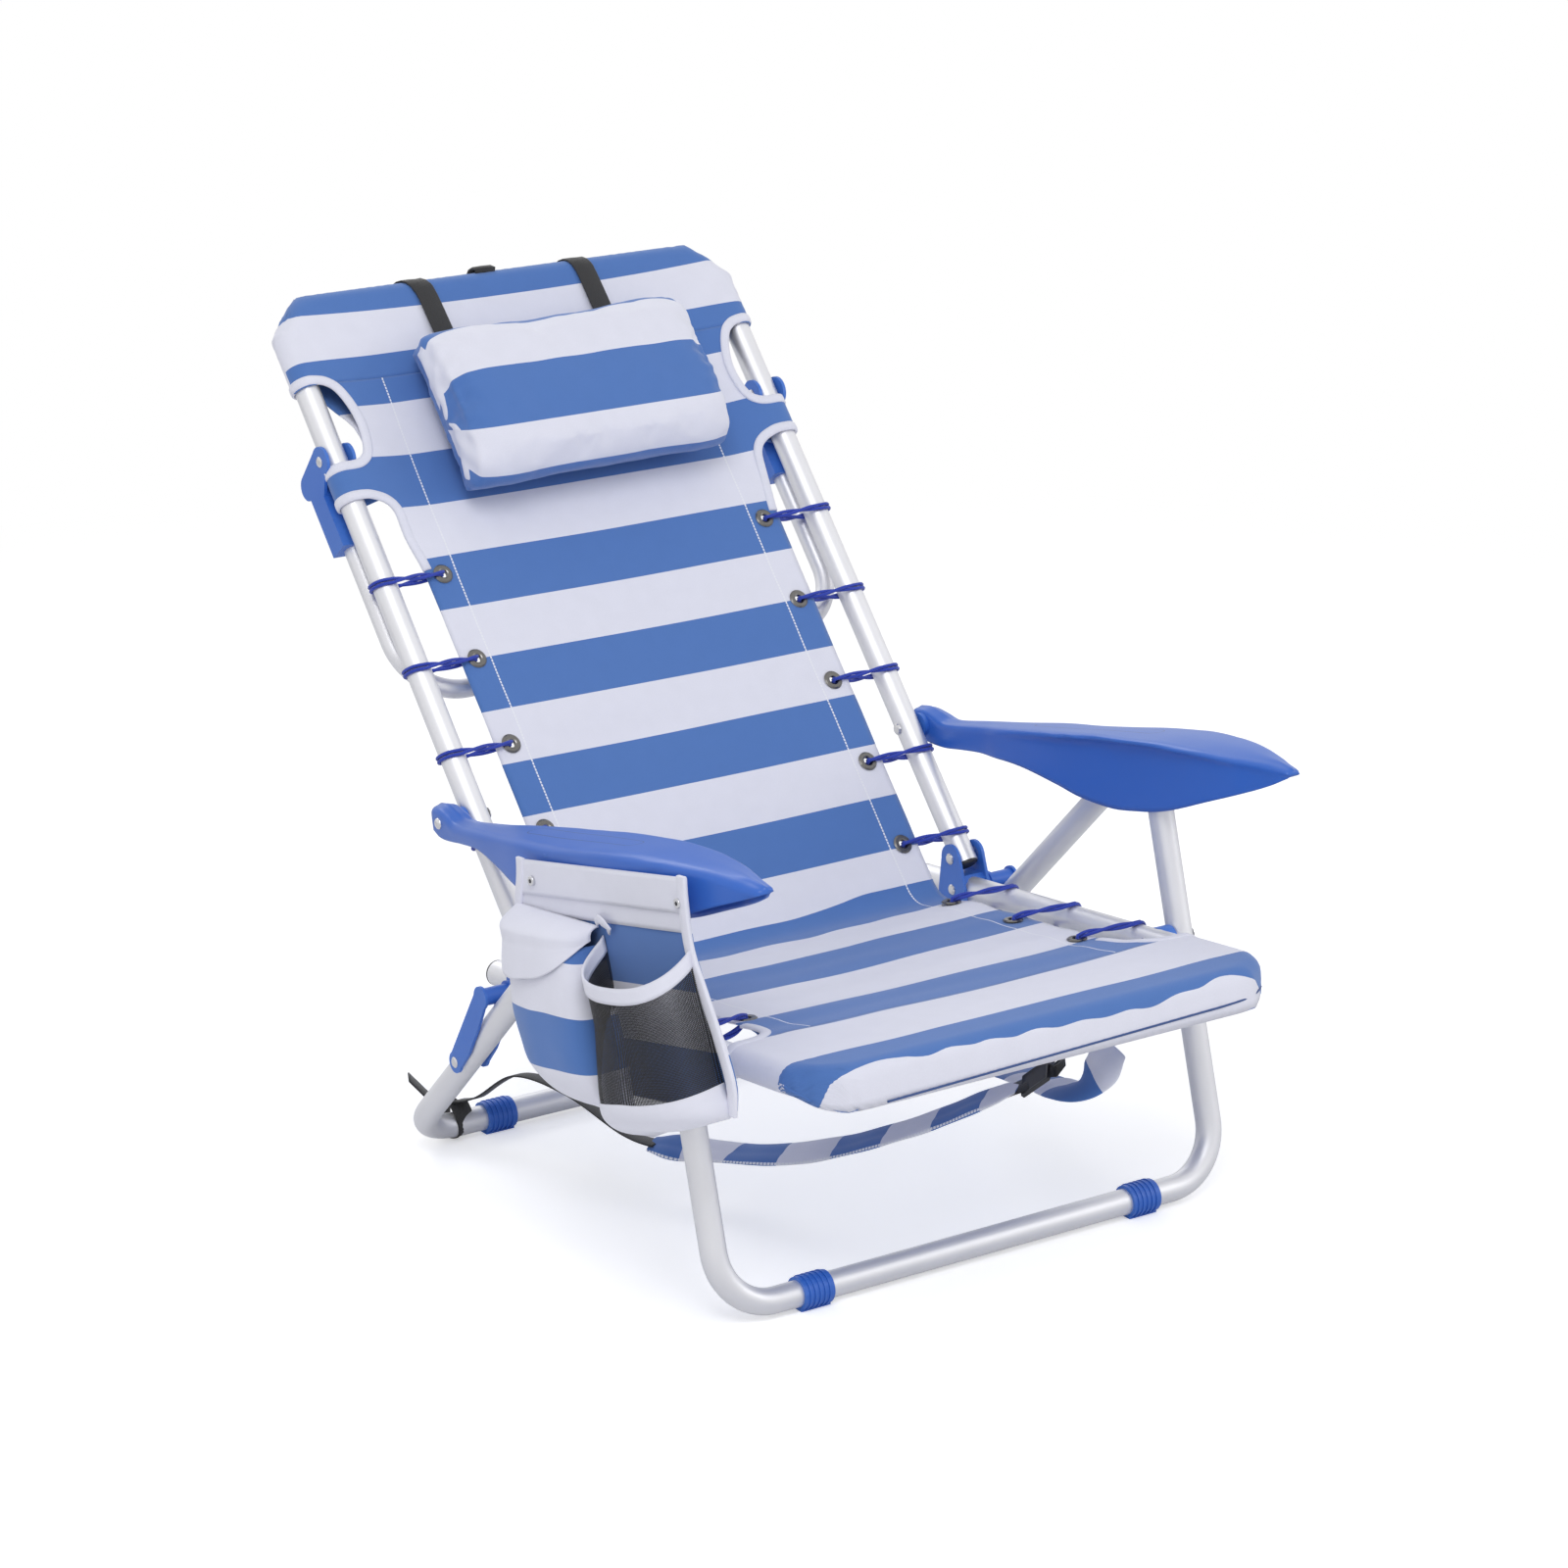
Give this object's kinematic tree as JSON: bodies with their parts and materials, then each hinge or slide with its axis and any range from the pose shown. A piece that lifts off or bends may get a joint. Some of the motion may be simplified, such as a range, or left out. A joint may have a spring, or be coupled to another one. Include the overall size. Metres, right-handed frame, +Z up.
{
  "type": "folding beach chair",
  "caption": "Low folding beach chair with a laced striped sling, moulded armrests, head pillow, side pouch and towel bar.",
  "frame": {"origin": "on the ground under the middle of the whole opened chair", "axes": "+X across the seat towards the sitter's left hand; +Y to the rear; +Z up"},
  "size_m": [0.7286, 0.9553, 0.7897],
  "materials": {
    "alu": "satin anodised",
    "blue_plastic": "satin moulded",
    "black_plastic": "matt moulded",
    "rivet_steel": "plated",
    "eyelet_metal": "gunmetal plated",
    "striped_cloth": "plain weave, blue and white stripes",
    "white_cloth": "plain weave",
    "black_webbing": "ribbed webbing",
    "black_mesh": "open mesh",
    "blue_cord": "braided cover"
  },
  "bodies": {
    "seat": {"seat_frame": "alu", "rail_end_plugs": "black_plastic", "hinge_bracket_left": "blue_plastic", "hinge_bracket_right": "blue_plastic", "bracket_rivets": "rivet_steel", "back_pivot_rivets": "rivet_steel", "leg_spacers": "blue_plastic", "leg_bolts": "rivet_steel", "seat_sling": "striped_cloth", "seat_sleeve": "striped_cloth", "seat_eyelets": "eyelet_metal", "seat_cords": "blue_cord", "strap_pad_left": "striped_cloth", "strap_web_left": "black_webbing", "strap_buckle": "black_webbing", "strap_pad_right": "striped_cloth"},
    "back": {"back_frame": "alu", "back_end_plugs": "black_plastic", "back_sling": "striped_cloth", "back_sleeve": "striped_cloth", "back_eyelets": "eyelet_metal", "back_cords": "blue_cord", "pillow": "striped_cloth", "pillow_straps": "black_webbing", "hang_tab": "black_webbing", "armrest_bolts": "rivet_steel", "towel_rivets": "rivet_steel"},
    "armrest_left": {"armrest_left": "blue_plastic", "pouch_panel": "white_cloth", "pouch_pocket": "striped_cloth", "pouch_flap": "white_cloth", "cup_holder": "black_mesh", "pouch_rivets": "rivet_steel"},
    "armrest_right": {"armrest_right": "blue_plastic"},
    "front_legs": {"front_leg_frame": "alu", "front_feet": "blue_plastic", "leg_knuckle_left": "black_plastic", "leg_knuckle_right": "black_plastic", "knuckle_rivets": "rivet_steel", "leg_pins": "rivet_steel"},
    "rear_legs": {"rear_leg_frame": "alu", "rear_feet": "blue_plastic", "rear_leg_plugs": "black_plastic", "link_rivets": "rivet_steel"},
    "link_left": {"link_left": "blue_plastic"},
    "link_right": {"link_right": "blue_plastic"},
    "towel_bar": {"towel_bar": "alu", "towel_fork_left": "blue_plastic", "towel_fork_right": "blue_plastic"}
  },
  "joints": [
    {"name": "back_fold", "type": "hinge", "parent": "seat", "child": "back", "pos_m": [0.0323, 0.0039, 0.2423], "axis": [1, 0, 0], "range_deg": [0, 112.5], "deforming": ["strap_pad_left", "strap_web_left", "strap_buckle", "strap_pad_right"]},
    {"name": "armrest_left_fold", "type": "hinge", "parent": "back", "child": "armrest_left", "pos_m": [-0.2527, 0.09903, 0.35305], "axis": [1, 0, 0], "range_deg": [-110.67, 0]},
    {"name": "armrest_right_fold", "type": "hinge", "parent": "back", "child": "armrest_right", "pos_m": [0.3173, 0.09903, 0.35305], "axis": [1, 0, 0], "range_deg": [-110.67, 0]},
    {"name": "front_leg_fold", "type": "hinge", "parent": "seat", "child": "front_legs", "pos_m": [0.0323, -0.2999, 0.2409], "axis": [1, 0, 0], "range_deg": [0, 86.64]},
    {"name": "rear_leg_fold", "type": "hinge", "parent": "front_legs", "child": "rear_legs", "pos_m": [0.0323, -0.2227, 0.4041], "axis": [1, 0, 0], "range_deg": [-59.25, 0]},
    {"name": "link_left_fold", "type": "hinge", "parent": "rear_legs", "child": "link_left", "pos_m": [-0.2647, 0.0478, 0.1317], "axis": [1, 0, 0], "range_deg": [-148.08, 0]},
    {"name": "link_right_fold", "type": "hinge", "parent": "rear_legs", "child": "link_right", "pos_m": [0.3293, 0.0478, 0.1317], "axis": [1, 0, 0], "range_deg": [-148.08, 0]},
    {"name": "towel_swing", "type": "hinge", "parent": "back", "child": "towel_bar", "pos_m": [0.0323, 0.35314, 0.6489], "axis": [1, 0, 0], "range_deg": [0, 55]}
  ],
  "couplings": [
    {"joint": "armrest_left_fold", "follows": "back_fold", "ratio": -0.98259},
    {"joint": "armrest_right_fold", "follows": "back_fold", "ratio": -0.98259},
    {"joint": "front_leg_fold", "follows": "back_fold", "ratio": 0.76915},
    {"joint": "rear_leg_fold", "follows": "back_fold", "ratio": -0.52596},
    {"joint": "link_left_fold", "follows": "back_fold", "ratio": -1.3148},
    {"joint": "link_right_fold", "follows": "back_fold", "ratio": -1.3148}
  ]
}
